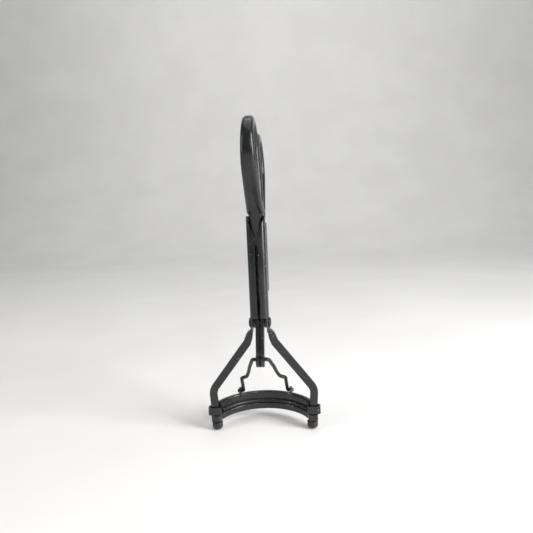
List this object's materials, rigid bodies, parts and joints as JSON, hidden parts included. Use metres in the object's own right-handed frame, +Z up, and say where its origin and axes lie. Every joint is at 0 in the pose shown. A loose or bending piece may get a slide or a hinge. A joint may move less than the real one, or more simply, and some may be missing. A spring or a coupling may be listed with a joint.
{
  "type": "eyelash curler",
  "caption": "Scissor-handled eyelash curler with teardrop finger rings, a wire-linked curved pressing jaw and a silicone-padded lower jaw.",
  "frame": {"origin": "on the surface the foot caps stand on, at the middle of the bounding box: midway between the legs and midway between the two finger rings", "axes": "+Z up along the handles to the finger rings; +X along the width of the jaws; +Y from the front handle to the rear handle, the way the jaws bulge"},
  "size_m": [0.0394, 0.043, 0.106],
  "materials": {
    "painted_steel": "satin black paint",
    "black_abs": "semi-gloss black moulding",
    "black_silicone": "matt black silicone"
  },
  "bodies": {
    "frame": {"front_handle_frame": "painted_steel", "front_finger_ring": "black_abs", "pivot_rivet": "painted_steel", "pivot_spacer_left": "painted_steel", "pivot_spacer_right": "painted_steel", "pad_holder": "painted_steel", "silicone_pad": "black_silicone", "foot_cap_left": "black_abs", "foot_cap_right": "black_abs"},
    "rear_handle": {"rear_handle_lever": "painted_steel", "rear_finger_ring": "black_abs"},
    "upper_jaw": {"upper_jaw": "painted_steel"},
    "yoke": {"link_yoke": "painted_steel"}
  },
  "joints": [
    {"name": "handle_pivot", "type": "hinge", "parent": "frame", "child": "rear_handle", "pos_m": [0, -0.003, 0.0387], "axis": [-1, 0, 0], "range_deg": [0, 18]},
    {"name": "jaw_slide", "type": "slide", "parent": "frame", "child": "upper_jaw", "axis": [0, 0, 1], "range_m": [0, 0.00595]},
    {"name": "yoke_swing", "type": "hinge", "parent": "upper_jaw", "child": "yoke", "pos_m": [0, 0.00791, 0.0106], "axis": [1, 0, 0], "range_deg": [0, 13.49]}
  ],
  "couplings": [
    {"joint": "jaw_slide", "follows": "handle_pivot", "m_per_rad": 0.018945},
    {"joint": "yoke_swing", "follows": "handle_pivot", "ratio": 0.74864}
  ]
}
